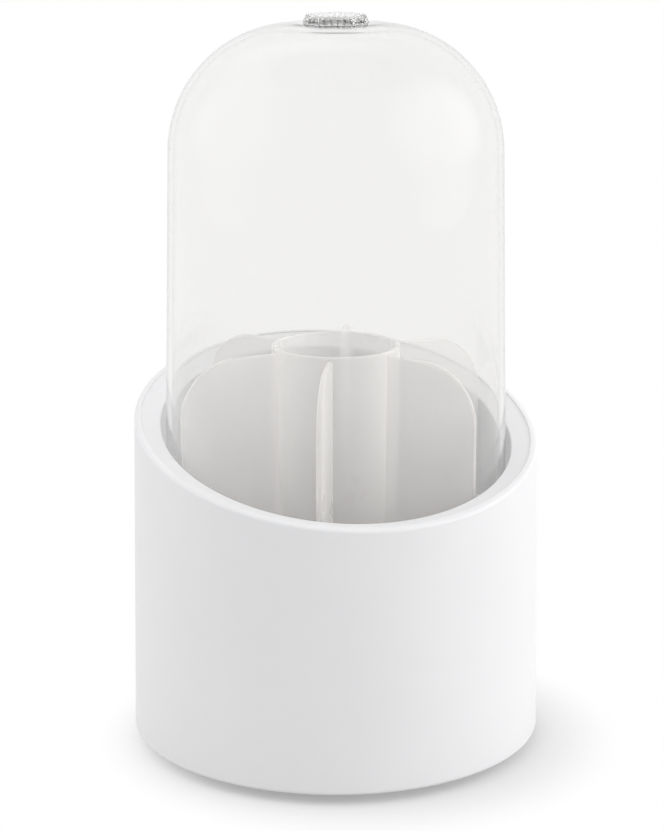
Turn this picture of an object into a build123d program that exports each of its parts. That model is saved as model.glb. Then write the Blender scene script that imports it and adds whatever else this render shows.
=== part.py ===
from build123d import *
import os
from math import asin, cos, degrees, radians, sin, tan

# Clear-domed holder: a slant-rimmed barrel on a ball-bearing foot, a lift-out insert with a centre cup and
# fins, and a lift-off dome. Millimetres, +Z up, origin on the table under the barrel's axis. The rim's low
# side faces -Y.

# Barrel
barrel_radius = 63.25
barrel_draft = 0.9
barrel_wall = 2.4
barrel_lift = 3.0
barrel_foot_edge = 1.2
rim_height = 97.3
rim_slant = 15.1
rim_width = 8.0
rim_thickness = 2.4
brim_rise = 2.4
brim_width = 2.2
brim_step = 0.5
brim_outer_edge = 1.2
brim_inner_edge = 0.35
mouth_edge_radius = 0.7
collar_wall = 1.8

# Well liner and the ledge that the dome stands on
seat_depth = 12.8
ledge_margin = 0.5
liner_wall = 1.6
liner_draft = 0.3
liner_floor = 1.8
liner_ring_height = 3.6
flange_thickness = 2.0
lip_height = 3.0
lip_wall = 1.4
lip_gap = 0.2

# Dome and knob
dome_height = 150.7
dome_draft = 1.25
dome_wall = 1.6
dome_gap = 1.1
dome_foot_edge = 0.5
knob_radius = 9.9
knob_height = 2.5
knob_taper = 1.0
knob_wall = 1.1
knob_edge = 0.4
knob_land = 2.3
knob_shoulder = 1.5
knob_flutes = 32
flute_radius = 0.5
flute_base = 0.4
spigot_fit = 0.05

# Insert
insert_gap = 0.5
insert_height = 108.7
insert_floor = 1.8
insert_turn = 10.0
cup_radius = 19.6
cup_wall = 1.6
cup_draft = 0.5
cup_rise = 1.2
cup_lip = 0.6
fin_count = 6
fin_thickness = 1.8
fin_corner = 17.2
fin_edge = 0.7

# Turntable foot and its pads
foot_inset = 7.25
foot_plate = 2.2
foot_skirt_wall = 1.8
foot_skirt_gap = 0.8
pad_count = 4
pad_radius = 5.5
pad_inset = 9.0
pad_proud = 1.0
pad_recess = 0.6
pad_fit = 0.1
pad_turn = 45.0
pad_edge = 0.4

# Ball ring
ball_count = 16
ball_radius = 2.0
race_inset = 18.0
race_clearance = 0.3
race_sink = 0.75
cage_thickness = 1.6
cage_band = 1.5
cage_pocket_gap = 0.2

# Bottom plate, pivot and screws
plate_thickness = 2.4
plate_gap = 0.25
hub_radius = 6.0
hub_fit = 0.05
pan_room = 3.0
pan_wall = 1.8
pan_gap = 0.6
pivot_play = 0.15
pivot_boss_radius = 5.0
pivot_boss_gap = 0.3
washer_overlap = 3.0
washer_thickness = 1.0
pivot_shank = 1.75
pivot_head_radius = 3.8
pivot_head_height = 1.8
pivot_head_lift = 0.95
screw_count = 5
screw_shank = 1.25
screw_head_radius = 2.4
screw_head_height = 1.4
screw_length = 12.0
screw_recess = 1.6
screw_head_gap = 0.4
screw_hole_gap = 0.35
thread_gap = 0.05
boss_radius = 3.2
boss_height = 22.0
boss_bite = 0.8

# Heights, from the table up
foot_bottom = pad_proud
foot_top = foot_bottom + foot_plate
race_radius = ball_radius + race_clearance
ball_height = foot_top - race_sink + race_radius
plate_bottom = ball_height + race_radius - race_sink
plate_top = plate_bottom + plate_thickness
pivot_seat = pivot_head_lift + pivot_head_height
hub_end = pivot_seat + washer_thickness
pan_ceiling = hub_end + pivot_play
pan_top = plate_bottom - pan_gap
floor_bottom = plate_top + liner_ring_height
well_floor = floor_bottom + liner_floor
fin_top = well_floor + insert_height


# Radii, from the barrel's wall inwards
def barrel_radius_at(height):
    """The barrel's outer radius, which narrows upwards by the draft."""
    return barrel_radius - (height - barrel_lift) * tan(radians(barrel_draft))


mouth_radius = barrel_radius_at(rim_height) - rim_width
brim_radius = barrel_radius_at(rim_height) - brim_width
collar_radius = mouth_radius + collar_wall
ledge_height = rim_height - mouth_radius * tan(radians(rim_slant)) - seat_depth
dome_foot_radius = mouth_radius - dome_gap
dome_top = ledge_height + dome_height
well_radius = dome_foot_radius - dome_wall - ledge_margin


def dome_inner_radius_at(height):
    """The dome's inside radius on its drafted wall."""
    return dome_foot_radius - dome_wall - (height - ledge_height) * tan(radians(dome_draft))


def well_radius_at(height):
    """The liner's inside radius, which narrows downwards by its draft."""
    return well_radius - (ledge_height - height) * tan(radians(liner_draft))


insert_radius = min(dome_inner_radius_at(fin_top - fin_corner), well_radius_at(well_floor)) - insert_gap
plate_radius = barrel_radius_at(plate_bottom) - barrel_wall - plate_gap
boss_circle = barrel_radius_at(plate_top) - barrel_wall - boss_radius + boss_bite
foot_radius = barrel_radius - foot_inset
pad_circle = foot_radius - pad_inset
race_circle = foot_radius - race_inset
washer_radius = hub_radius + washer_overlap
pan_radius = washer_radius + pan_room

# Heights of the rim on the axis: the mouth's edge is lowest, the funnel round it rises to the foot of the brim,
# and the brim is the barrel's top edge. The last height is above everything on the barrel, for cutting.
brim_height = rim_height + brim_rise
funnel_height = brim_height - brim_step
blank_height = brim_height + barrel_radius * tan(radians(rim_slant)) + rim_thickness

os.makedirs("parts", exist_ok=True)


def finish(builder, name):
    """Names a finished piece and writes it."""
    builder.part.label = name
    export_step(builder.part, f"parts/{name}.step")


def slanted_plane(height):
    """The rim's slant through the axis at the given height."""
    return Plane.XY.offset(height).rotated((rim_slant, 0, 0))


def slanted_outline(height, radius):
    """Where an upright cylinder meets the slant."""
    with BuildSketch(slanted_plane(height)) as outline:
        Ellipse(radius, radius / cos(radians(rim_slant)))
    return outline.sketch


def edges_on(builder, plane):
    """The edges that lie in a plane all along."""
    places = (0, 0.3, 0.6)
    return builder.edges().filter_by(
        lambda edge: all(abs(plane.to_local_coords(edge @ place).Z) < 0.01 for place in places)
    )


# The funnel round the mouth, as the space that it leaves open
mouth_outline = slanted_outline(rim_height, mouth_radius)
funnel_outline = slanted_outline(funnel_height, brim_radius)
with BuildPart() as mouth_funnel:
    loft([mouth_outline, funnel_outline], ruled=True)

# Barrel shell: a drafted cup turned upside down, cut by the slant, hollowed from below, with a raised brim, a
# funnel down to the mouth, a collar hanging from the mouth and bosses for the plate's screws
with BuildPart() as barrel_hollow:
    with BuildSketch(Plane.XZ):
        with BuildLine():
            Polyline(
                (0, 0),
                (barrel_radius_at(0) - barrel_wall, 0),
                (barrel_radius_at(blank_height) - barrel_wall, blank_height),
                (0, blank_height),
                close=True,
            )
        make_face()
    revolve(axis=Axis.Z)
    split(bisect_by=slanted_plane(funnel_height - rim_thickness), keep=Keep.BOTTOM)
    add(mouth_funnel.part.moved(Location((0, 0, -rim_thickness))), mode=Mode.SUBTRACT)
    with BuildSketch(Plane.XY.offset(ledge_height)):
        Circle(collar_radius)
    extrude(amount=blank_height, mode=Mode.SUBTRACT)

with BuildPart() as barrel_shell:
    with BuildSketch(Plane.XZ):
        with BuildLine():
            Polyline(
                (0, barrel_lift),
                (barrel_radius, barrel_lift),
                (barrel_radius_at(blank_height), blank_height),
                (0, blank_height),
                close=True,
            )
        make_face()
    revolve(axis=Axis.Z)
    split(bisect_by=slanted_plane(brim_height), keep=Keep.BOTTOM)
    fillet(edges_on(barrel_shell, slanted_plane(brim_height)), brim_outer_edge)
    fillet(barrel_shell.edges().filter_by(GeomType.CIRCLE).sort_by(Axis.Z)[0], barrel_foot_edge)
    add(barrel_hollow.part, mode=Mode.SUBTRACT)
    add(mouth_funnel.part, mode=Mode.SUBTRACT)
    extrude(funnel_outline, amount=brim_rise, dir=(0, 0, 1), mode=Mode.SUBTRACT)
    with BuildSketch(Plane.XY.offset(ledge_height)):
        Circle(mouth_radius)
    extrude(amount=blank_height, mode=Mode.SUBTRACT)
    fillet(edges_on(barrel_shell, slanted_plane(brim_height)).sort_by(SortBy.LENGTH)[0], brim_inner_edge)
    fillet(edges_on(barrel_shell, slanted_plane(rim_height)), mouth_edge_radius)
    with BuildSketch(Plane.XY.offset(plate_top)):
        with PolarLocations(boss_circle, screw_count):
            Circle(boss_radius)
    extrude(amount=boss_height)
    with BuildSketch(Plane.XY.offset(plate_top)):
        with PolarLocations(boss_circle, screw_count):
            Circle(screw_shank + thread_gap)
    extrude(amount=screw_length, mode=Mode.SUBTRACT)
finish(barrel_shell, "barrel_shell")

# Well liner: the barrel's inner cup, whose flange butts against the collar and carries the dome
lip_radius = collar_radius + lip_gap
flange_bottom = ledge_height - flange_thickness
with BuildPart() as well_liner:
    with BuildSketch(Plane.XZ):
        with BuildLine():
            Polyline(
                (0, well_floor),
                (well_radius_at(well_floor), well_floor),
                (well_radius, ledge_height),
                (lip_radius, ledge_height),
                (lip_radius, ledge_height + lip_height),
                (lip_radius + lip_wall, ledge_height + lip_height),
                (lip_radius + lip_wall, flange_bottom),
                (well_radius_at(flange_bottom) + liner_wall, flange_bottom),
                (well_radius_at(plate_top) + liner_wall, plate_top),
                (well_radius_at(plate_top) - liner_wall, plate_top),
                (well_radius_at(plate_top) - liner_wall, floor_bottom),
                (0, floor_bottom),
                close=True,
            )
        make_face()
    revolve(axis=Axis.Z)
finish(well_liner, "well_liner")

# Bottom plate: a disc with the upper race, the pivot's hub and boss, and recessed screw holes
with BuildPart() as bottom_plate:
    with BuildSketch(Plane.XZ):
        with BuildLine():
            Polyline(
                (0, hub_end),
                (hub_radius, hub_end),
                (hub_radius, plate_bottom),
                (plate_radius, plate_bottom),
                (plate_radius, plate_top),
                (pivot_boss_radius, plate_top),
                (pivot_boss_radius, floor_bottom - pivot_boss_gap),
                (0, floor_bottom - pivot_boss_gap),
                close=True,
            )
        make_face()
    revolve(axis=Axis.Z)
    with BuildSketch(Plane.XZ):
        with Locations((race_circle, ball_height)):
            Circle(race_radius)
    revolve(axis=Axis.Z, mode=Mode.SUBTRACT)
    with BuildSketch(Plane.XY.offset(hub_end)):
        Circle(pivot_shank + thread_gap)
    extrude(amount=blank_height, mode=Mode.SUBTRACT)
    with Locations(Plane(origin=(0, 0, plate_bottom), x_dir=(1, 0, 0), z_dir=(0, 0, -1))):
        with PolarLocations(boss_circle, screw_count):
            CounterBoreHole(
                radius=screw_shank + screw_hole_gap,
                counter_bore_radius=screw_head_radius + screw_head_gap,
                counter_bore_depth=screw_recess,
                depth=plate_thickness,
            )
finish(bottom_plate, "bottom_plate")


def half_screw(shank, head_radius, head_height, length, seat):
    """Half of a round-headed screw beside the axis, head down, with the head's seat at the given height."""
    cap_radius = (head_radius**2 + head_height**2) / (2 * head_height)
    cap_angle = degrees(asin(head_radius / cap_radius))
    with BuildSketch(Plane.XZ) as profile:
        with BuildLine():
            CenterArc((0, seat - head_height + cap_radius), cap_radius, -90, cap_angle)
            Polyline(
                (head_radius, seat),
                (shank, seat),
                (shank, seat + length),
                (0, seat + length),
                (0, seat - head_height),
            )
        make_face()
    return profile.sketch


# Screws that hold the plate to the bosses, heads up in their recesses
screw_seat = plate_bottom + screw_recess
screw_profile = half_screw(screw_shank, screw_head_radius, screw_head_height, screw_length, screw_seat)
with BuildPart() as plate_screw:
    revolve(screw_profile, axis=Axis.Z)

with BuildPart() as plate_screws:
    with PolarLocations(boss_circle, screw_count):
        add(plate_screw.part)
finish(plate_screws, "plate_screws")

# Pivot washer and screw, which hold the foot on the hub and still let it turn
with BuildPart() as pivot_washer:
    with BuildSketch(Plane.XY.offset(pivot_seat)):
        Circle(washer_radius)
        Circle(pivot_shank + thread_gap, mode=Mode.SUBTRACT)
    extrude(amount=washer_thickness)
finish(pivot_washer, "pivot_washer")

pivot_length = floor_bottom - pivot_boss_gap - hub_end
pivot_profile = half_screw(pivot_shank, pivot_head_radius, pivot_head_height, pivot_length, pivot_seat)
with BuildPart() as pivot_screw:
    revolve(pivot_profile, axis=Axis.Z)
finish(pivot_screw, "pivot_screw")

# Turntable foot: a skirted disc with a raised pan round the hub, the lower race and recesses for the pads
with BuildPart() as turntable_foot:
    with BuildSketch(Plane.XZ):
        with BuildLine():
            Polyline(
                (hub_radius + hub_fit, pan_ceiling),
                (pan_radius, pan_ceiling),
                (pan_radius, foot_bottom),
                (foot_radius, foot_bottom),
                (foot_radius, plate_bottom - foot_skirt_gap),
                (foot_radius - foot_skirt_wall, plate_bottom - foot_skirt_gap),
                (foot_radius - foot_skirt_wall, foot_top),
                (pan_radius + pan_wall, foot_top),
                (pan_radius + pan_wall, pan_top),
                (hub_radius + hub_fit, pan_top),
                close=True,
            )
        make_face()
    revolve(axis=Axis.Z)
    with BuildSketch(Plane.XZ):
        with Locations((race_circle, ball_height)):
            Circle(race_radius)
    revolve(axis=Axis.Z, mode=Mode.SUBTRACT)
    with BuildSketch(Plane.XY.offset(foot_bottom)):
        with PolarLocations(pad_circle, pad_count, start_angle=pad_turn):
            Circle(pad_radius + pad_fit)
    extrude(amount=pad_recess, mode=Mode.SUBTRACT)
finish(turntable_foot, "turntable_foot")

# Rubber pads, glued in the foot's recesses
for number in range(pad_count):
    turn = pad_turn + number * 360 / pad_count
    with BuildPart() as foot_pad:
        with BuildSketch(Plane.XY):
            with PolarLocations(pad_circle, 1, start_angle=turn):
                Circle(pad_radius)
        extrude(amount=foot_bottom + pad_recess)
        fillet(foot_pad.edges().sort_by(Axis.Z)[0], pad_edge)
    finish(foot_pad, f"foot_pad_{number + 1}")

# Ball ring: the cage and its balls, which roll between the two races at half the barrel's turn
with BuildPart() as ball_cage:
    with BuildSketch(Plane.XY.offset(ball_height - cage_thickness / 2)):
        Circle(race_circle + ball_radius + cage_band)
        Circle(race_circle - ball_radius - cage_band, mode=Mode.SUBTRACT)
        with PolarLocations(race_circle, ball_count):
            Circle(ball_radius + cage_pocket_gap, mode=Mode.SUBTRACT)
    extrude(amount=cage_thickness)
finish(ball_cage, "ball_cage")

with BuildPart() as bearing_balls:
    with Locations((0, 0, ball_height)):
        with PolarLocations(race_circle, ball_count):
            Sphere(ball_radius)
finish(bearing_balls, "bearing_balls")

# Insert: a round floor, fins out from the axis and a tapered cup whose bore clears the fins' inner ends
with BuildPart() as fin:
    with BuildSketch(Plane.XZ):
        with BuildLine():
            Polyline(
                (insert_radius - fin_corner, fin_top),
                (0, fin_top),
                (0, well_floor),
                (insert_radius, well_floor),
                (insert_radius, fin_top - fin_corner),
            )
            CenterArc((insert_radius - fin_corner, fin_top - fin_corner), fin_corner, 0, 90)
        make_face()
    extrude(amount=fin_thickness / 2, both=True)
    side_edges = fin.edges().filter_by(Axis.Y, reverse=True)
    free_edges = side_edges.filter_by(lambda edge: edge.center().X > fin_thickness)
    fillet(free_edges.filter_by(lambda edge: edge.center().Z > well_floor + insert_floor), fin_edge)

cup_top = fin_top + cup_rise
cup_foot_radius = cup_radius - (cup_top - well_floor) * tan(radians(cup_draft))
with BuildPart() as compartment_insert:
    with BuildSketch(Plane.XY.offset(well_floor)):
        Circle(insert_radius)
    extrude(amount=insert_floor)
    with PolarLocations(0, fin_count, start_angle=insert_turn):
        add(fin.part)
    with BuildSketch(Plane.XZ):
        with BuildLine():
            Polyline(
                (0, well_floor),
                (cup_foot_radius, well_floor),
                (cup_radius, cup_top),
                (0, cup_top),
                close=True,
            )
        make_face()
    revolve(axis=Axis.Z)
    with BuildSketch(Plane.XZ):
        with BuildLine():
            Polyline(
                (0, well_floor + insert_floor),
                (cup_foot_radius - cup_wall, well_floor + insert_floor),
                (cup_radius - cup_wall, cup_top),
                (0, cup_top),
                close=True,
            )
        make_face()
    revolve(axis=Axis.Z, mode=Mode.SUBTRACT)
    fillet(compartment_insert.edges().filter_by(GeomType.CIRCLE).group_by(Axis.Z)[-1], cup_lip)
finish(compartment_insert, "compartment_insert")


# Dome: a drafted bell with a flat top, a shoulder that meets top and wall without a corner, and a hole for
# the knob's spigot
lean = radians(dome_draft)
spigot_radius = knob_radius - knob_shoulder
flat_radius = knob_radius + knob_land
shoulder_span = dome_foot_radius - dome_height * tan(lean) - flat_radius
shoulder_radius = shoulder_span / (cos(lean) - (1 - sin(lean)) * tan(lean))


def bell(inset):
    """Half of the bell beside the axis, drawn in from the dome's outside by the inset."""
    arc_radius = shoulder_radius - inset
    arc_height = dome_top - shoulder_radius
    with BuildSketch(Plane.XZ) as profile:
        with BuildLine():
            CenterArc((flat_radius, arc_height), arc_radius, dome_draft, 90 - dome_draft)
            Polyline(
                (flat_radius, arc_height + arc_radius),
                (0, arc_height + arc_radius),
                (0, ledge_height),
                (dome_foot_radius - inset / cos(lean), ledge_height),
                (flat_radius + arc_radius * cos(lean), arc_height + arc_radius * sin(lean)),
            )
        make_face()
    return profile.sketch


bell_outside = bell(0)
bell_inside = bell(dome_wall)
with BuildPart() as dome_cover:
    revolve(bell_outside, axis=Axis.Z)
    revolve(bell_inside, axis=Axis.Z, mode=Mode.SUBTRACT)
    fillet(dome_cover.edges().filter_by(GeomType.CIRCLE).group_by(Axis.Z)[0], dome_foot_edge)
    with BuildSketch(Plane.XY.offset(dome_top)):
        Circle(spigot_radius + spigot_fit)
    extrude(amount=-2 * dome_wall, mode=Mode.SUBTRACT)
finish(dome_cover, "dome_cover")

# Knob: a low hollow cap with a tapered, fluted wall, whose ring-shaped spigot fills the dome's hole
knob_top = dome_top + knob_height
knob_top_radius = knob_radius - knob_taper
bore_radius = spigot_radius - knob_wall
flute_start = Plane(
    origin=(knob_radius - knob_taper * flute_base / knob_height, 0, dome_top + flute_base),
    x_dir=(0, 1, 0),
    z_dir=(-knob_taper, 0, knob_height),
)
with BuildPart() as flute:
    with BuildSketch(flute_start):
        Circle(flute_radius)
    extrude(amount=2 * knob_height)

with BuildPart() as dome_knob:
    with BuildSketch(Plane.XZ):
        with BuildLine():
            Polyline(
                (0, knob_top - knob_wall),
                (bore_radius, knob_top - knob_wall),
                (bore_radius, dome_top - dome_wall),
                (spigot_radius, dome_top - dome_wall),
                (spigot_radius, dome_top),
                (knob_radius, dome_top),
                (knob_top_radius, knob_top),
                (0, knob_top),
                close=True,
            )
        make_face()
    revolve(axis=Axis.Z)
    fillet(dome_knob.edges().filter_by(GeomType.CIRCLE).sort_by(Axis.Z)[-1], knob_edge)
    with PolarLocations(0, knob_flutes):
        add(flute.part, mode=Mode.SUBTRACT)
finish(dome_knob, "dome_knob")
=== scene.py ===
# %% [markdown]
# # A holder with a clear dome
# The real holder is a white barrel with a slanted rim. A frosted insert with a centre cup and six fins
# stands in it, a clear dome closes it, and a ball ring under the barrel lets it turn. The exact solids
# come first, as a fixed frame. This lesson then gives them smooth skins, finishes, light and a camera,
# all in metres and in that frame.

from math import cos, pi, radians, sin, tan

import bpy
from mathutils import Matrix, Vector


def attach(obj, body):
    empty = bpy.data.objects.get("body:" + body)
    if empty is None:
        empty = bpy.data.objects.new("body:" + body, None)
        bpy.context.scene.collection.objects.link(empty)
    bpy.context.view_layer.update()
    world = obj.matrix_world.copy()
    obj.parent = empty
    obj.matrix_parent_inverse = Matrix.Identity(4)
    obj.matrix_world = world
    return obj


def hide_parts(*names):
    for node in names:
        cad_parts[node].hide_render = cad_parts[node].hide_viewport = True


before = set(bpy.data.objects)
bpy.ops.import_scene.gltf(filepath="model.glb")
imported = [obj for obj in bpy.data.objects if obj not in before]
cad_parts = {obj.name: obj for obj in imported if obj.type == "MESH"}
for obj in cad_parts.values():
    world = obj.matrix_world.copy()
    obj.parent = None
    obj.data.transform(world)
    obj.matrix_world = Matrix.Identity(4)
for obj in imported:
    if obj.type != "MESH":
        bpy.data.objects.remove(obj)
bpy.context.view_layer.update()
scene = bpy.context.scene
scene.view_settings.view_transform = "Standard"
mm = 0.001

# %% [markdown]
# ## Tools for round things
# Nearly every piece is turned about one axis, so two small tools do most of the work. The first takes the
# corners of an outline and swaps each radius for an arc, with a support point beside the arc so that
# shading stays flat on the straight runs. The second turns an outline about the Z axis. A Screw modifier
# could turn it too, but the barrel's outline changes with the angle, and a function can do that.


# %% Outlines with rounded corners
def rounded(corners, steps=6, support=0.4 * mm):
    """Points of a closed outline, given as (radius from the axis, height, corner radius) in turn."""
    points = []
    for number, (across, height, radius) in enumerate(corners):
        here = Vector((across, height))
        if radius == 0:
            points.append(here)
            continue
        before = Vector(corners[number - 1][:2]) - here
        after = Vector(corners[(number + 1) % len(corners)][:2]) - here
        half = before.angle(after) / 2
        before.normalize()
        after.normalize()
        centre = here + (before + after).normalized() * radius / sin(half)
        reach = radius / tan(half)
        first = here + before * reach - centre
        last = here + after * reach - centre
        sweep = -first.angle_signed(last)
        points.append(centre + first + before * support)
        for step in range(steps + 1):
            points.append(centre + Matrix.Rotation(sweep * step / steps, 2) @ first)
        points.append(centre + last + after * support)
    return points


# %% Turning an outline about the axis
crisp_angle = radians(30)


def new_piece(name, points, faces):
    """A smooth mesh object at the origin, in which edges sharper than the crisp angle stay crisp."""
    mesh = bpy.data.meshes.new(name)
    mesh.from_pydata(points, [], faces)
    mesh.polygons.foreach_set("use_smooth", [True] * len(mesh.polygons))
    mesh.set_sharp_from_angle(angle=crisp_angle)
    made = bpy.data.objects.new(name, mesh)
    scene.collection.objects.link(made)
    print(name, "has", len(faces), "faces")
    return made


def turned(name, outline_at, segments=256):
    """An outline turned about the Z axis. It is listed going up on the outside, so faces point outwards."""
    points = []
    columns = []
    for segment in range(segments):
        angle = 2 * pi * segment / segments
        column = []
        for row, (across, height) in enumerate(outline_at(angle)):
            on_axis = across < 0.001 * mm
            if on_axis and segment > 0:
                column.append(columns[0][row])
                continue
            column.append(len(points))
            points.append((across * cos(angle), across * sin(angle), height))
        columns.append(column)
    faces = []
    for segment in range(segments):
        this = columns[segment]
        following = columns[(segment + 1) % segments]
        for row in range(len(this)):
            above = (row + 1) % len(this)
            around = (this[row], following[row], following[above], this[above])
            face = list(dict.fromkeys(around))
            if len(face) > 2:
                faces.append(face)
    return new_piece(name, points, faces)


# %% [markdown]
# ## Tools for repeats
# The insert's fins and the barrel's screw bosses repeat evenly about the axis. One node tree does both:
# it makes a point for each copy, turns an instance of the incoming mesh at each point, and joins the
# copies into one mesh. Copying in a loop would also work, but the tree keeps the count and the turn as
# inputs that can be changed later.

# %% A node tree that repeats a mesh about the axis
ring_tree = bpy.data.node_groups.new("ring_of_copies", "GeometryNodeTree")
ring_face = ring_tree.interface
ring_face.new_socket("Mesh", in_out="INPUT", socket_type="NodeSocketGeometry")
count_input = ring_face.new_socket("Count", in_out="INPUT", socket_type="NodeSocketInt")
turn_input = ring_face.new_socket("First Turn", in_out="INPUT", socket_type="NodeSocketFloat")
finish_input = ring_face.new_socket("Finish", in_out="INPUT", socket_type="NodeSocketMaterial")
ring_face.new_socket("Ring", in_out="OUTPUT", socket_type="NodeSocketGeometry")

ring_start = ring_tree.nodes.new("NodeGroupInput")
ring_end = ring_tree.nodes.new("NodeGroupOutput")
places = ring_tree.nodes.new("GeometryNodePoints")
which = ring_tree.nodes.new("GeometryNodeInputIndex")
one_step = ring_tree.nodes.new("ShaderNodeMath")
one_step.operation = "DIVIDE"
one_step.inputs[0].default_value = 2 * pi
whole_turn = ring_tree.nodes.new("ShaderNodeMath")
whole_turn.operation = "MULTIPLY_ADD"
about_z = ring_tree.nodes.new("ShaderNodeCombineXYZ")
as_rotation = ring_tree.nodes.new("FunctionNodeEulerToRotation")
copies = ring_tree.nodes.new("GeometryNodeInstanceOnPoints")
plain = ring_tree.nodes.new("GeometryNodeRealizeInstances")
finished = ring_tree.nodes.new("GeometryNodeSetMaterial")

join = ring_tree.links.new
join(ring_start.outputs["Count"], places.inputs["Count"])
join(ring_start.outputs["Count"], one_step.inputs[1])
join(which.outputs["Index"], whole_turn.inputs[0])
join(one_step.outputs["Value"], whole_turn.inputs[1])
join(ring_start.outputs["First Turn"], whole_turn.inputs[2])
join(whole_turn.outputs["Value"], about_z.inputs["Z"])
join(about_z.outputs["Vector"], as_rotation.inputs["Euler"])
join(places.outputs["Points"], copies.inputs["Points"])
join(ring_start.outputs["Mesh"], copies.inputs["Instance"])
join(as_rotation.outputs["Rotation"], copies.inputs["Rotation"])
join(copies.outputs["Instances"], plain.inputs["Geometry"])
join(plain.outputs["Geometry"], finished.inputs["Geometry"])
join(ring_start.outputs["Finish"], finished.inputs["Material"])
join(finished.outputs["Geometry"], ring_end.inputs["Ring"])
print("ring tree has", len(ring_tree.nodes), "nodes")


# %% Making the result a plain mesh
def settle(made):
    """Swaps an object's mesh for what its modifiers make of it, and drops the modifiers."""
    graph = bpy.context.evaluated_depsgraph_get()
    mesh = bpy.data.meshes.new_from_object(made.evaluated_get(graph), depsgraph=graph)
    made.modifiers.clear()
    made.data = mesh
    mesh.name = made.name
    return made


def ring_of(made, count, finish, first_turn=0.0):
    """Repeats an object's mesh evenly about the Z axis."""
    repeat = made.modifiers.new("ring", "NODES")
    repeat.node_group = ring_tree
    repeat[count_input.identifier] = count
    repeat[turn_input.identifier] = first_turn
    repeat[finish_input.identifier] = finish
    print(made.name, "repeated", count, "times")
    return settle(made)


# %% [markdown]
# ## Tools for finishes
# Every finish grows from the same few nodes: noise on the piece's own coordinates, a ramp between two
# colours, a range that turns noise into a roughness, and a fine relief. Small tools make these, so that
# each recipe below shows only what is special about it. Each tool gives back a socket, ready to be
# linked.


# %% Tools for finishes
def new_finish(name):
    """A new material with its nodes, its link function and its main shader."""
    finish = bpy.data.materials.new(name)
    finish.use_nodes = True
    tree = finish.node_tree
    return finish, tree.nodes, tree.links.new, tree.nodes["Principled BSDF"]


def noise_on_piece(nodes, link, size, detail=2):
    """Noise on the piece's own coordinates, in blotches of about that size."""
    place = nodes.new("ShaderNodeTexCoord")
    noise = nodes.new("ShaderNodeTexNoise")
    noise.inputs["Scale"].default_value = 1 / size
    noise.inputs["Detail"].default_value = detail
    link(place.outputs["Object"], noise.inputs["Vector"])
    return noise.outputs["Fac"]


def two_tone(nodes, link, value, first, second, span=(0.0, 1.0)):
    """A colour that runs from the first to the second as the value crosses the span."""
    ramp = nodes.new("ShaderNodeValToRGB")
    for stop, position, colour in zip(ramp.color_ramp.elements, span, (first, second)):
        stop.position = position
        stop.color = (*colour, 1)
    link(value, ramp.inputs["Fac"])
    return ramp.outputs["Color"]


def ranged(nodes, link, value, low, high, span=(0.0, 1.0)):
    """A number that runs from low to high as the value crosses the span."""
    stretch = nodes.new("ShaderNodeMapRange")
    stretch.inputs["From Min"].default_value = span[0]
    stretch.inputs["From Max"].default_value = span[1]
    stretch.inputs["To Min"].default_value = low
    stretch.inputs["To Max"].default_value = high
    link(value, stretch.inputs["Value"])
    return stretch.outputs["Result"]


def fine_relief(nodes, link, height, depth, strength):
    """Surface normals for a relief of that depth."""
    bump = nodes.new("ShaderNodeBump")
    bump.inputs["Strength"].default_value = strength
    bump.inputs["Distance"].default_value = depth
    link(height, bump.inputs["Height"])
    return bump.outputs["Normal"]


# %% [markdown]
# ## Moulded plastics
# Barrel, liner, foot and ball cage are all moulded plastic: a soft sheen, a very fine grain from the
# mould, and a colour that drifts by a shade over a few centimetres. A plain colour looks like paint on a
# screen, so each of these comes from noise. Handling wears the sheen unevenly, so the roughness drifts
# too, in smaller blotches. The same recipe serves all of them, and the rubber pads, with other numbers.


# %% Moulded plastic
most_noise = (0.3, 0.7)


def moulded(name, pale, deep, gloss, grain_size=0.25 * mm, grain_depth=0.004 * mm, cloud_size=40 * mm):
    """A plastic whose colour drifts between two shades and whose roughness runs over the gloss range."""
    finish, nodes, link, skin = new_finish(name)
    cloud = noise_on_piece(nodes, link, cloud_size, detail=4)
    handled = noise_on_piece(nodes, link, cloud_size / 3, detail=6)
    grain = noise_on_piece(nodes, link, grain_size)
    link(two_tone(nodes, link, cloud, deep, pale, most_noise), skin.inputs["Base Color"])
    link(ranged(nodes, link, handled, *gloss, most_noise), skin.inputs["Roughness"])
    link(fine_relief(nodes, link, grain, grain_depth, 0.35), skin.inputs["Normal"])
    return finish


barrel_white = moulded("barrel_white", (0.80, 0.80, 0.81), (0.78, 0.78, 0.79), (0.36, 0.46))
liner_white = moulded("liner_white", (0.80, 0.79, 0.785), (0.77, 0.76, 0.755), (0.45, 0.55))
foot_plastic = moulded("foot_plastic", (0.72, 0.72, 0.72), (0.69, 0.69, 0.69), (0.5, 0.6))
cage_plastic = moulded("cage_plastic", (0.52, 0.53, 0.55), (0.48, 0.49, 0.51), (0.4, 0.5))
pad_rubber = moulded(
    "pad_rubber",
    (0.27, 0.27, 0.27),
    (0.22, 0.22, 0.22),
    (0.7, 0.85),
    grain_size=0.4 * mm,
    grain_depth=0.02 * mm,
    cloud_size=6 * mm,
)
print("moulded plastics made")

# %% [markdown]
# ## Clear acrylic
# The dome and its knob are clear acrylic with real wall thickness, so the edges bend what is behind them
# by themselves. Two things make it look real: faint smudges that dull the gloss here and there, and light
# that reaches the insert. Glass in a path tracer blocks lamps and soft light, so rays from lamps and rays
# from matt surfaces get a transparent shader instead. Rays from the camera still meet the glass. A ray
# that crosses the dome and the insert passes more walls than the usual limit of 8, and would end black,
# so the limit goes up. A gloss below 1 weakens the reflections that are seen head-on, so that the lamps
# leave no hard white patches. Seen edge-on there is more plastic in the way, so the dome's tint deepens
# at the very edge, which draws its outline.


# %% Light through a clear wall
scene.cycles.transparent_max_bounces = 32


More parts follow.
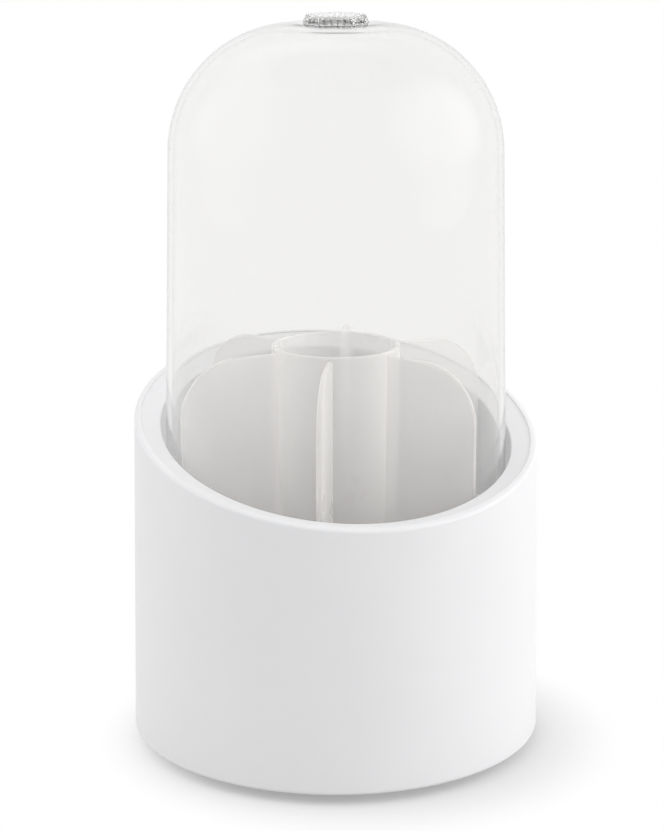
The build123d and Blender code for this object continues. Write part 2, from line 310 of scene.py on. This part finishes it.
def let_light_through(nodes, link, wall, share):
    """Lets that share of the light from lamps and matt surfaces straight through a wall's shader."""
    ray = nodes.new("ShaderNodeLightPath")
    open_wall = nodes.new("ShaderNodeBsdfTransparent")
    open_wall.inputs["Color"].default_value = (share, share, share, 1)
    for_lamps = nodes.new("ShaderNodeMixShader")
    for_soft_light = nodes.new("ShaderNodeMixShader")
    link(ray.outputs["Is Shadow Ray"], for_lamps.inputs["Fac"])
    link(wall.outputs["BSDF"], for_lamps.inputs[1])
    link(open_wall.outputs["BSDF"], for_lamps.inputs[2])
    link(ray.outputs["Is Diffuse Ray"], for_soft_light.inputs["Fac"])
    link(for_lamps.outputs["Shader"], for_soft_light.inputs[1])
    link(open_wall.outputs["BSDF"], for_soft_light.inputs[2])
    link(for_soft_light.outputs["Shader"], nodes["Material Output"].inputs["Surface"])


# %% Clear acrylic
def clear_plastic(name, smudge_size, gloss, body=1.0):
    """A clear plastic with faint smudges. A body below 1 also lets part of the view pass unbent."""
    finish, nodes, link, wall = new_finish(name)
    wall.inputs["IOR"].default_value = 1.49
    wall.inputs["Transmission Weight"].default_value = 1.0
    wall.inputs["Specular Tint"].default_value = (gloss, gloss, gloss, 1)
    wall.inputs["Alpha"].default_value = body
    smudge = noise_on_piece(nodes, link, smudge_size, detail=5)
    ripple = noise_on_piece(nodes, link, 2 * smudge_size)
    link(ranged(nodes, link, smudge, 0.004, 0.05, (0.45, 0.8)), wall.inputs["Roughness"])
    link(fine_relief(nodes, link, ripple, 0.02 * mm, 0.2), wall.inputs["Normal"])
    let_light_through(nodes, link, wall, 0.99)
    return finish


dome_clear = clear_plastic("dome_clear", 25 * mm, gloss=0.4)
knob_clear = clear_plastic("knob_clear", 6 * mm, gloss=1.0, body=0.6)
print("clear acrylic made")

# %% Tint at the dome's edge
dome_tint = (0.94, 0.938, 0.931)
dome_edge_tint = (0.62, 0.615, 0.60)
dome_nodes = dome_clear.node_tree.nodes
dome_link = dome_clear.node_tree.links.new
edge_on = dome_nodes.new("ShaderNodeLayerWeight")
tinted = two_tone(dome_nodes, dome_link, edge_on.outputs["Facing"], dome_tint, dome_edge_tint, (0.82, 0.98))
dome_link(tinted, dome_nodes["Principled BSDF"].inputs["Base Color"])
print("dome tint made")

# %% [markdown]
# ## Frosted plastic
# The insert is a thin milky plastic that shows what is behind it. Rough glass would do that with a lot of
# noise, so the milk is an ordinary surface that covers only part of what lies behind. Seen edge-on there
# is more plastic in the way, so the cover rises there, which gives the bright edges of a milky part. A
# cloudiness drifts through it.


# %% Frosted plastic
def frosted_plastic(name, pale, deep, cover_facing, cover_edge):
    """A milky plastic that covers less of what lies behind it where it is seen face-on."""
    finish, nodes, link, wall = new_finish(name)
    wall.inputs["IOR"].default_value = 1.47
    cloud = noise_on_piece(nodes, link, 30 * mm, detail=4)
    grain = noise_on_piece(nodes, link, 0.3 * mm)
    edge_on = nodes.new("ShaderNodeLayerWeight")
    edge_on.inputs["Blend"].default_value = 0.3
    cover = ranged(nodes, link, edge_on.outputs["Facing"], cover_facing, cover_edge)
    link(two_tone(nodes, link, cloud, deep, pale, most_noise), wall.inputs["Base Color"])
    link(ranged(nodes, link, cloud, 0.22, 0.36), wall.inputs["Roughness"])
    link(cover, wall.inputs["Alpha"])
    link(fine_relief(nodes, link, grain, 0.002 * mm, 0.1), wall.inputs["Normal"])
    let_light_through(nodes, link, wall, 0.97)
    return finish


insert_milk = frosted_plastic(
    "insert_milk",
    pale=(0.92, 0.90, 0.885),
    deep=(0.89, 0.87, 0.855),
    cover_facing=0.33,
    cover_edge=0.75,
)
print("frosted plastic made")

# %% [markdown]
# ## Zinc-plated steel
# Balls, screws and washer are small steel parts. They are metal all over, with a fine grain in relief,
# and with a cool, slightly blotchy colour and gloss as zinc has.

# %% Zinc-plated steel
zinc_steel, steel_nodes, steel_link, steel_skin = new_finish("zinc_steel")
steel_skin.inputs["Metallic"].default_value = 1.0
blotch = noise_on_piece(steel_nodes, steel_link, 2 * mm)
steel_grain = noise_on_piece(steel_nodes, steel_link, 0.15 * mm)
steel_colour = two_tone(steel_nodes, steel_link, blotch, (0.52, 0.53, 0.56), (0.68, 0.69, 0.71))
steel_roughness = ranged(steel_nodes, steel_link, blotch, 0.22, 0.42)
steel_relief = fine_relief(steel_nodes, steel_link, steel_grain, 0.003 * mm, 0.2)
steel_link(steel_colour, steel_skin.inputs["Base Color"])
steel_link(steel_roughness, steel_skin.inputs["Roughness"])
steel_link(steel_relief, steel_skin.inputs["Normal"])
print("steel made")

# %% [markdown]
# ## Barrel
# The barrel is a drafted wall cut by a slanted plane. Its top edge is a narrow rounded brim. A shallow
# funnel falls from the foot of the brim to the mouth, and a collar hangs from the mouth. It could be a
# cylinder cut by a Boolean and bevelled, but the bevel would leave uneven faces on the curve. Here the
# rule is written down instead: at each angle the section is the same outline, and only the height of its
# rim follows the slant. That gives even faces all the way round.

# %% Barrel sizes
barrel_radius = 63.25 * mm
barrel_draft = tan(radians(0.9))
barrel_wall = 2.4 * mm
barrel_lift = 3.0 * mm
barrel_foot_edge = 1.2 * mm
rim_height = 97.3 * mm
rim_slant = radians(15.1)
rim_width = 8.0 * mm
rim_thickness = 2.4 * mm
brim_rise = 2.4 * mm
brim_height = rim_height + brim_rise
brim_width = 2.2 * mm
brim_outer_edge = 1.2 * mm
brim_inner_edge = 0.35 * mm
brim_step = 0.5 * mm
funnel_height = brim_height - brim_step
mouth_edge_radius = 0.7 * mm
collar_wall = 1.8 * mm
seat_depth = 12.8 * mm
rim_radius = barrel_radius - (rim_height - barrel_lift) * barrel_draft
mouth_radius = rim_radius - rim_width
brim_radius = rim_radius - brim_width
collar_radius = mouth_radius + collar_wall
funnel_slope = (funnel_height - rim_height) / (brim_radius - mouth_radius)
ledge_height = rim_height - mouth_radius * tan(rim_slant) - seat_depth
print("mouth radius", round(mouth_radius / mm, 2), "mm, ledge at", round(ledge_height / mm, 2), "mm")


# %% Barrel skin
def barrel_section(angle):
    """The barrel's outline at one angle about the axis."""
    rise = sin(angle) * tan(rim_slant)
    underside = rim_height - rim_thickness + (collar_radius - mouth_radius) * funnel_slope

    def slanted(across, height, corner=0):
        """A corner on the slanted plane that crosses the axis at that height."""
        return across, height + rise * across, corner

    def on_wall(radius, height, corner=0):
        """The same, where the plane meets a wall that has that radius at the barrel's lower edge."""
        across = (radius - (height - barrel_lift) * barrel_draft) / (1 + rise * barrel_draft)
        return slanted(across, height, corner)

    corners = [
        (barrel_radius, barrel_lift, barrel_foot_edge),
        on_wall(barrel_radius, brim_height, brim_outer_edge),
        slanted(brim_radius, brim_height, brim_inner_edge),
        slanted(brim_radius, funnel_height),
        slanted(mouth_radius, rim_height, mouth_edge_radius),
        (mouth_radius, ledge_height, 0),
        (collar_radius, ledge_height, 0),
        slanted(collar_radius, underside),
        on_wall(barrel_radius - barrel_wall, funnel_height - rim_thickness),
        (barrel_radius - barrel_wall, barrel_lift, 0),
    ]
    return rounded(corners, steps=8, support=0.04 * mm)


barrel_skin = turned("barrel_skin", barrel_section)
barrel_skin.data.materials.append(barrel_white)
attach(barrel_skin, "barrel")
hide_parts("barrel_shell")

# %% [markdown]
# ## Screw bosses
# Five hollow posts grow out of the barrel's inner wall and take the screws of the bottom plate. One post
# is turned, moved out to its circle, and repeated by the ring tree.

# %% Screw bosses
plate_top = 8.7 * mm
boss_radius = 3.2 * mm
boss_height = 22 * mm
boss_bore = 1.3 * mm
boss_bore_depth = 12 * mm
boss_edge = 0.5 * mm
boss_sink = 0.8 * mm
inner_wall_radius = barrel_radius - (plate_top - barrel_lift) * barrel_draft - barrel_wall
boss_circle = inner_wall_radius - boss_radius + boss_sink
screw_count = 5


def boss_section(angle):
    """Half of a post with a blind bore from below, which is the same at every angle."""
    corners = [
        (boss_bore, plate_top, 0),
        (boss_radius, plate_top, 0),
        (boss_radius, plate_top + boss_height, boss_edge),
        (0, plate_top + boss_height, 0),
        (0, plate_top + boss_bore_depth, 0),
        (boss_bore, plate_top + boss_bore_depth, 0),
    ]
    return rounded(corners, steps=3, support=0.1 * mm)


barrel_bosses = turned("barrel_bosses", boss_section, segments=32)
barrel_bosses.data.transform(Matrix.Translation((boss_circle, 0, 0)))
ring_of(barrel_bosses, screw_count, barrel_white)
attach(barrel_bosses, "barrel")

# %% [markdown]
# ## Well liner
# The liner is the barrel's inner cup. Its flange is the ledge that the dome stands on, and a lip outside
# the collar centres it. It is a plain turned outline, with small radii where a mould would leave them.

# %% Well liner
well_floor = 14.1 * mm
floor_bottom = 12.3 * mm
liner_wall = 1.6 * mm
liner_draft = tan(radians(0.3))
liner_edge = 0.4 * mm
well_floor_edge = 0.3 * mm
well_mouth_edge = 0.5 * mm
flange_thickness = 2.0 * mm
flange_bottom = ledge_height - flange_thickness
lip_gap = 0.2 * mm
lip_radius = collar_radius + lip_gap
lip_wall = 1.4 * mm
lip_height = 3.0 * mm
lip_edge = 0.3 * mm
lip_top = ledge_height + lip_height
dome_gap = 1.1 * mm
dome_foot_radius = mouth_radius - dome_gap
dome_wall = 1.6 * mm
ledge_inside_dome = 0.5 * mm
well_radius = dome_foot_radius - dome_wall - ledge_inside_dome


def liner_section(angle):
    """The liner's outline, which is the same at every angle."""

    def well_at(height):
        """The drafted well's radius at a height."""
        return well_radius - (ledge_height - height) * liner_draft

    corners = [
        (0, floor_bottom, 0),
        (well_at(plate_top) - liner_wall, floor_bottom, liner_edge),
        (well_at(plate_top) - liner_wall, plate_top, 0),
        (well_at(plate_top) + liner_wall, plate_top, 0),
        (well_at(flange_bottom) + liner_wall, flange_bottom, liner_edge),
        (lip_radius + lip_wall, flange_bottom, liner_edge),
        (lip_radius + lip_wall, lip_top, lip_edge),
        (lip_radius, lip_top, lip_edge),
        (lip_radius, ledge_height, 0),
        (well_radius, ledge_height, well_mouth_edge),
        (well_at(well_floor), well_floor, well_floor_edge),
        (0, well_floor, 0),
    ]
    return rounded(corners, steps=3, support=0.2 * mm)


liner_cup = turned("liner_cup", liner_section)
liner_cup.data.materials.append(liner_white)
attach(liner_cup, "barrel")
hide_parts("well_liner")

# %% [markdown]
# ## Insert
# The insert is one moulding: a round floor, a tapered centre cup and six fins with a large rounded corner
# and soft edges. Floor and cup are turned together. One fin is drawn as a bead that runs along its free
# edge with a flat face on each side, because a Bevel modifier would not keep the bead even round the
# corner. The ring tree repeats the fin, and a Boolean union makes fins, cup and floor one skin, so no
# hidden walls show through the frosted plastic.

# %% Insert sizes
insert_radius = 49.776 * mm
insert_floor = 1.8 * mm
insert_floor_top = well_floor + insert_floor
cup_top = 124.0 * mm
cup_radius = 19.6 * mm
cup_wall = 1.6 * mm
cup_draft = tan(radians(0.5))
cup_foot_radius = cup_radius - (cup_top - well_floor) * cup_draft
cup_lip = 0.6 * mm
fin_top = 122.8 * mm
fin_half = 0.9 * mm
fin_edge = 0.7 * mm
fin_corner = 17.2 * mm
fin_root = 18.3 * mm
fin_inset = 0.02 * mm
fin_reach = insert_radius - fin_inset
fin_foot_rise = 0.9 * mm
fin_foot = well_floor + fin_foot_rise
fin_corner_steps = 16
fin_bead_steps = 4
fin_count = 6
fin_turn = radians(10)


# %% Insert floor and cup
def cup_section(angle):
    """The floor and the cup as one outline, which is the same at every angle."""
    corners = [
        (0, well_floor, 0),
        (insert_radius, well_floor, 0),
        (insert_radius, insert_floor_top, 0),
        (cup_foot_radius, insert_floor_top, 0),
        (cup_radius, cup_top, cup_lip),
        (cup_radius - cup_wall, cup_top, cup_lip),
        (cup_foot_radius - cup_wall, insert_floor_top, 0),
        (0, insert_floor_top, 0),
    ]
    return rounded(corners, steps=5, support=0.2 * mm)


insert_skin = turned("insert_skin", cup_section, segments=192)


# %% One fin
def fin_path():
    """Points along the fin's free edge, each with the direction that points out of the fin there."""
    up = Vector((0, 1))
    outward = Vector((1, 0))
    centre = Vector((fin_reach - fin_corner, fin_top - fin_corner))
    path = [(Vector((fin_root, fin_top)), up)]
    for step in range(fin_corner_steps + 1):
        angle = pi / 2 * (1 - step / fin_corner_steps)
        out = Vector((cos(angle), sin(angle)))
        path.append((centre + out * fin_corner, out))
    path.append((Vector((fin_reach, fin_foot)), outward))
    return path


def fin_bead():
    """The free edge's round section, as (distance in from the edge, distance aside)."""
    bead = []
    for step in range(fin_bead_steps + 1):
        angle = pi / 2 * step / fin_bead_steps
        bead.append((fin_edge - fin_edge * sin(angle), fin_half - fin_edge + fin_edge * cos(angle)))
    return bead + [(inset, -side) for inset, side in reversed(bead)]


def fin_mesh():
    """A fin along +X, from inside the cup's wall to the floor's edge, with a rounded free edge."""
    path = fin_path()
    bead = fin_bead()
    points = []
    for place, out in path:
        for inset, side in bead:
            at = place - out * inset
            points.append((at.x, side, at.y))
    low_left = len(points)
    low_right = low_left + 1
    points += [(fin_root, fin_half, fin_foot), (fin_root, -fin_half, fin_foot)]
    across = len(bead)
    faces = []
    for row in range(len(path) - 1):
        for column in range(across - 1):
            first = row * across + column
            faces.append((first, first + across, first + across + 1, first + 1))
    last = (len(path) - 1) * across
    left = [row * across for row in range(len(path))] + [low_left]
    right = [row * across + across - 1 for row in range(len(path))] + [low_right]
    inner = list(range(across)) + [low_right, low_left]
    under = list(range(last, last + across)) + [low_right, low_left]
    flat_from = len(faces)
    faces += [left[::-1], right, inner, under[::-1]]
    return points, faces, flat_from


fin_points, fin_faces, fin_flat_from = fin_mesh()
insert_fins = new_piece("insert_fins", fin_points, fin_faces)
for face in insert_fins.data.polygons[fin_flat_from:]:
    face.use_smooth = False
ring_of(insert_fins, fin_count, insert_milk, fin_turn)

# %% Fins, cup and floor made one
insert_skin.data.materials.append(insert_milk)
weld = insert_skin.modifiers.new("weld", "BOOLEAN")
weld.operation = "UNION"
weld.solver = "EXACT"
weld.object = insert_fins
settle(insert_skin)
bpy.data.objects.remove(insert_fins)
insert_skin.data.set_sharp_from_angle(angle=crisp_angle)
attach(insert_skin, "insert")
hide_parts("compartment_insert")
print("insert has", len(insert_skin.data.polygons), "faces in one skin")

# %% [markdown]
# ## Dome
# The dome is a thin clear bell: a drafted wall, a large shoulder and a flat top with a hole for the knob.
# Both walls are real surfaces, because clear plastic without thickness has no edges to catch the light.
# It is turned from one closed outline with many segments, since facets show at once in a clear wall.

# %% Dome
dome_height = 150.7 * mm
dome_draft = radians(1.25)
dome_top = ledge_height + dome_height
dome_foot_edge = 0.5 * mm
flat_radius = 12.2 * mm
hole_radius = 8.45 * mm
corner_radius = dome_foot_radius - dome_height * tan(dome_draft)
shoulder_span = corner_radius - flat_radius
shoulder_radius = shoulder_span / (cos(dome_draft) - (1 - sin(dome_draft)) * tan(dome_draft))
inner_foot = dome_foot_radius - dome_wall / cos(dome_draft)
inner_corner = inner_foot - (dome_height - dome_wall) * tan(dome_draft)


def dome_section(angle):
    """The bell's outline, outside then inside, which is the same at every angle."""
    corners = [
        (dome_foot_radius, ledge_height, dome_foot_edge),
        (corner_radius, dome_top, shoulder_radius),
        (hole_radius, dome_top, 0),
        (hole_radius, dome_top - dome_wall, 0),
        (inner_corner, dome_top - dome_wall, shoulder_radius - dome_wall),
        (inner_foot, ledge_height, dome_foot_edge),
    ]
    return rounded(corners, steps=60)


dome_bell = turned("dome_bell", dome_section, segments=360)
dome_bell.data.materials.append(dome_clear)
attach(dome_bell, "dome")
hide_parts("dome_cover")
print("shoulder radius", round(shoulder_radius / mm, 2), "mm")

# %% [markdown]
# ## Knob
# The knob is a low hollow cap with a tapered wall and fluted edge. A ring under it fills the dome's hole.
# The flutes are round grooves along the wall, so the rule is again a section that changes with the angle:
# where a groove passes, the wall is drawn in by the groove's own depth. A hair of air is left under the
# cap, because two clear faces in the same place confuse a path tracer. The flutes get a deeper tint near
# the top of the cap, found by the same rule of the angle about the axis: painted shade in the grooves.

# %% Knob
knob_radius = 9.9 * mm
knob_height = 2.5 * mm
knob_top = dome_top + knob_height
knob_taper = 1.0 * mm
knob_wall = 1.1 * mm
knob_edge = 0.4 * mm
knob_flutes = 32
steps_per_flute = 12
flute_radius = 0.5 * mm
flute_base = 0.4 * mm
flute_step = 0.02 * mm
spigot_inset = 1.5 * mm
spigot_radius = knob_radius - spigot_inset
bore_radius = spigot_radius - knob_wall
air = 0.03 * mm


def knob_section(angle):
    """The cap's outline, drawn in where a flute passes."""
    pitch = 2 * pi / knob_flutes
    aside = abs((angle + pitch / 2) % pitch - pitch / 2) * knob_radius
    groove = max(flute_radius**2 - aside**2, 0) ** 0.5
    lean = knob_taper / knob_height
    base_radius = knob_radius - flute_base * lean
    corners = [
        (bore_radius, dome_top - dome_wall, 0),
        (spigot_radius, dome_top - dome_wall, 0),
        (spigot_radius, dome_top + air, 0),
        (knob_radius, dome_top + air, 0),
        (base_radius, dome_top + flute_base, 0),
        (base_radius - groove, dome_top + flute_base + flute_step, 0),
        (knob_radius - knob_taper - groove, knob_top, knob_edge),
        (0, knob_top, 0),
        (0, knob_top - knob_wall, 0),
        (bore_radius, knob_top - knob_wall, 0),
    ]
    return rounded(corners, steps=4, support=0.03 * mm)


knob_cap = turned("knob_cap", knob_section, segments=steps_per_flute * knob_flutes)

# %% Painted shade in the flutes
knob_tint = (0.97, 0.97, 0.965)
flute_painted_shade = (0.3, 0.3, 0.29)
flute_half_angle = flute_radius / knob_radius
shade_starts = knob_top - 0.1 * mm
shade_full = knob_top - 0.5 * mm
knob_nodes = knob_clear.node_tree.nodes
knob_link = knob_clear.node_tree.links.new
on_knob = knob_nodes.new("ShaderNodeTexCoord")
parts = knob_nodes.new("ShaderNodeSeparateXYZ")
around_axis = knob_nodes.new("ShaderNodeMath")
around_axis.operation = "ARCTAN2"
from_flute = knob_nodes.new("ShaderNodeMath")
from_flute.operation = "PINGPONG"
from_flute.inputs[1].default_value = pi / knob_flutes
painted_shade_mask = knob_nodes.new("ShaderNodeMath")
painted_shade_mask.operation = "MULTIPLY"
flute_span = (flute_half_angle, 0.5 * flute_half_angle)
across_flute = ranged(knob_nodes, knob_link, from_flute.outputs["Value"], 0, 1, flute_span)
below_top = ranged(knob_nodes, knob_link, parts.outputs["Z"], 0, 1, (shade_starts, shade_full))
# Painted shade: the flutes near the top of the cap get a dark tint that stands in for shade in the grooves.
knob_tint_and_painted_shade = two_tone(knob_nodes, knob_link, painted_shade_mask.outputs["Value"], knob_tint, flute_painted_shade)
knob_link(on_knob.outputs["Object"], parts.inputs["Vector"])
knob_link(parts.outputs["Y"], around_axis.inputs[0])
knob_link(parts.outputs["X"], around_axis.inputs[1])
knob_link(around_axis.outputs["Value"], from_flute.inputs[0])
knob_link(across_flute, painted_shade_mask.inputs[0])
knob_link(below_top, painted_shade_mask.inputs[1])
knob_link(knob_tint_and_painted_shade, knob_nodes["Principled BSDF"].inputs["Base Color"])
knob_cap.data.materials.append(knob_clear)
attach(knob_cap, "dome")
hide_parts("dome_knob")

# %% [markdown]
# ## Solids that keep their own shape
# The foot, pads, plate, cage, balls, screws and washer are already the right shape, so they keep their
# exact meshes and only get finishes.

# %% Finishes on the exact solids
node_finish = {
    "bottom_plate": liner_white,
    "turntable_foot": foot_plastic,
    "ball_cage": cage_plastic,
}
for name in ("bearing_balls", "pivot_screw", "pivot_washer", "plate_screws"):
    node_finish[name] = zinc_steel
pad_count = 4
for number in range(1, pad_count + 1):
    node_finish[f"foot_pad_{number}"] = pad_rubber
for name, finish in node_finish.items():
    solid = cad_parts[name]
    solid.data.materials.clear()
    solid.data.materials.append(finish)
print("finished", len(node_finish), "exact solids")

# %% [markdown]
# ## Floor and world
# The ground is pure white with a soft, close shadow under the barrel. The floor is a pale diffuse sheet
# that takes the shadow. For rays from the camera, and for those that clear and glossy surfaces pass on,
# it turns into an even white glow a few centimetres away from the barrel. Closer in, around a point a
# little beside the axis, the glow's share falls to 0.3, so the pale sheet there stays grey even where it
# is lit: painted shade that shapes the real shadow. The glow is exactly white and no brighter, so that
# the clear dome in front of it still shows. The world does the same for what lies beyond the floor.


# %% Rays that see the ground
def rays_that_see(nodes, link):
    """A socket that is 1 for rays from the camera and from clear or glossy surfaces, else 0."""
    ray = nodes.new("ShaderNodeLightPath")
    passed_on = nodes.new("ShaderNodeMath")
    passed_on.operation = "MAXIMUM"
    any_of_them = nodes.new("ShaderNodeMath")
    any_of_them.operation = "MAXIMUM"
    link(ray.outputs["Is Glossy Ray"], passed_on.inputs[0])
    link(ray.outputs["Is Transmission Ray"], passed_on.inputs[1])
    link(ray.outputs["Is Camera Ray"], any_of_them.inputs[0])
    link(passed_on.outputs["Value"], any_of_them.inputs[1])
    return any_of_them.outputs["Value"]


# %% Floor
floor_half = 8.0
# Painted shade: round this point and inside this radius, the floor stays greyer than its lighting alone
# would make it.
painted_shade_middle = (6 * mm, -8 * mm, 0)
painted_shade_radius = 54 * mm
glow_radius = 84 * mm
glow_in_painted_shade = 0.3
floor_mesh = bpy.data.meshes.new("floor")
floor_corners = [(-floor_half, -floor_half, 0), (floor_half, -floor_half, 0)]
floor_corners += [(floor_half, floor_half, 0), (-floor_half, floor_half, 0)]
floor_mesh.from_pydata(floor_corners, [], [(0, 1, 2, 3)])
floor = bpy.data.objects.new("floor", floor_mesh)
scene.collection.objects.link(floor)

# %% Floor finish
floor_white, floor_nodes, floor_link, floor_skin = new_finish("floor_white")
floor_skin.inputs["Base Color"].default_value = (0.74, 0.74, 0.74, 1)
floor_skin.inputs["Roughness"].default_value = 0.9
floor_skin.inputs["Specular IOR Level"].default_value = 0.1
even_white = floor_nodes.new("ShaderNodeEmission")
floor_choice = floor_nodes.new("ShaderNodeMixShader")
on_floor = floor_nodes.new("ShaderNodeTexCoord")
from_painted_shade = floor_nodes.new("ShaderNodeVectorMath")
from_painted_shade.operation = "DISTANCE"
from_painted_shade.inputs[1].default_value = painted_shade_middle
glow = floor_nodes.new("ShaderNodeMapRange")
glow.interpolation_type = "SMOOTHSTEP"
glow.inputs["From Min"].default_value = painted_shade_radius
glow.inputs["From Max"].default_value = glow_radius
glow.inputs["To Min"].default_value = glow_in_painted_shade
glow_seen = floor_nodes.new("ShaderNodeMath")
glow_seen.operation = "MULTIPLY"
floor_link(on_floor.outputs["Object"], from_painted_shade.inputs[0])
floor_link(from_painted_shade.outputs["Value"], glow.inputs["Value"])
floor_link(glow.outputs["Result"], glow_seen.inputs[0])
floor_link(rays_that_see(floor_nodes, floor_link), glow_seen.inputs[1])
floor_link(glow_seen.outputs["Value"], floor_choice.inputs["Fac"])
floor_link(floor_skin.outputs["BSDF"], floor_choice.inputs[1])
floor_link(even_white.outputs["Emission"], floor_choice.inputs[2])
floor_link(floor_choice.outputs["Shader"], floor_nodes["Material Output"].inputs["Surface"])
floor_mesh.materials.append(floor_white)
print("floor", 2 * floor_half, "m wide")

# %% World
world = bpy.data.worlds.new("studio")
world.use_nodes = True
scene.world = world
world_nodes = world.node_tree.nodes
world_link = world.node_tree.links.new
soft_room = world_nodes["Background"]
soft_room.inputs["Color"].default_value = (1, 1, 1, 1)
soft_room.inputs["Strength"].default_value = 0.65
white_ground = world_nodes.new("ShaderNodeBackground")
white_ground.inputs["Color"].default_value = (1, 1, 1, 1)
white_ground.inputs["Strength"].default_value = 1.0
world_choice = world_nodes.new("ShaderNodeMixShader")
world_link(rays_that_see(world_nodes, world_link), world_choice.inputs["Fac"])
world_link(soft_room.outputs["Background"], world_choice.inputs[1])
world_link(white_ground.outputs["Background"], world_choice.inputs[2])
world_link(world_choice.outputs["Shader"], world_nodes["World Output"].inputs["Surface"])
print("world made")

# %% [markdown]
# ## Camera
# The camera stands a little to the left of the low side of the rim and looks down by 14 degrees. Its
# distance, height and focal length come from a fit of the rim, mouth, dome and base edges in the
# photograph.

# %% Camera
photo_height = 831
focal_pixels = 2319.6
sensor_height = 36
camera_turn = radians(-14.4)
camera_distance = 690.6 * mm
camera_height = 276.1 * mm
camera_pitch = radians(14.198)
camera_shift_left = 1.19 * mm
to_right = Vector((cos(camera_turn), sin(camera_turn), 0))
to_back = Vector((-sin(camera_turn), cos(camera_turn), 0))
up = Vector((0, 0, 1))

camera_data = bpy.data.cameras.new("camera")
camera_data.sensor_fit = "VERTICAL"
camera_data.sensor_height = sensor_height
camera_data.lens = focal_pixels / photo_height * sensor_height
camera = bpy.data.objects.new("camera", camera_data)
camera.location = up * camera_height - to_back * camera_distance - to_right * camera_shift_left
camera.rotation_euler = (pi / 2 - camera_pitch, 0, camera_turn)
scene.collection.objects.link(camera)
scene.camera = camera
print("lens", round(camera_data.lens, 2), "mm")

# %% [markdown]
# ## Lamps
# The light is soft and comes mostly from the sides, brighter on the right, which leaves the middle of the
# barrel a little darker than its edges. Two large soft boxes do that, and a third above lights the rim and
# the floor. The dome mirrors the boxes, and an evenly lit box would leave a hard-edged window on it.
# So each box fades towards its edges, by the distance from its own middle. Seen from another side, a box
# could stand right behind the dome and wash it out, so the boxes are hidden from the camera and from rays
# that have passed through clear plastic.


# %% Lamps
def soft_box(name, right, back, height, aim, size, power):
    """A rectangular lamp placed by the camera's own right and back, aimed at a height on the axis."""
    data = bpy.data.lights.new(name, "AREA")
    data.shape = "RECTANGLE"
    data.size = size[0]
    data.size_y = size[1]
    data.energy = power
    data.use_nodes = True
    nodes = data.node_tree.nodes
    link = data.node_tree.links.new
    on_box = nodes.new("ShaderNodeNewGeometry")
    from_middle = nodes.new("ShaderNodeVectorMath")
    from_middle.operation = "DISTANCE"
    from_middle.inputs[1].default_value = (0.5, 0.5, 0)
    fade = nodes.new("ShaderNodeMapRange")
    fade.interpolation_type = "SMOOTHSTEP"
    fade.inputs["From Min"].default_value = 0.5
    fade.inputs["From Max"].default_value = 0.15
    fade.inputs["To Max"].default_value = 2.0
    link(on_box.outputs["Parametric"], from_middle.inputs[0])
    link(from_middle.outputs["Value"], fade.inputs["Value"])
    link(fade.outputs["Result"], nodes["Emission"].inputs["Strength"])
    lamp = bpy.data.objects.new(name, data)
    lamp.location = to_right * right + to_back * back + up * height
    towards = up * aim - lamp.location
    lamp.rotation_euler = towards.to_track_quat("-Z", "Y").to_euler()
    lamp.visible_camera = False
    lamp.visible_transmission = False
    scene.collection.objects.link(lamp)
    return lamp


soft_box("right_box", right=1.0, back=-0.2, height=0.55, aim=0.1, size=(2.2, 1.8), power=12.5)
soft_box("left_box", right=-1.0, back=-0.2, height=0.55, aim=0.1, size=(2.2, 1.8), power=5.8)
soft_box("top_box", right=-0.4, back=0.2, height=1.3, aim=0.0, size=(2.2, 2.2), power=4.9)
print("lamps made")
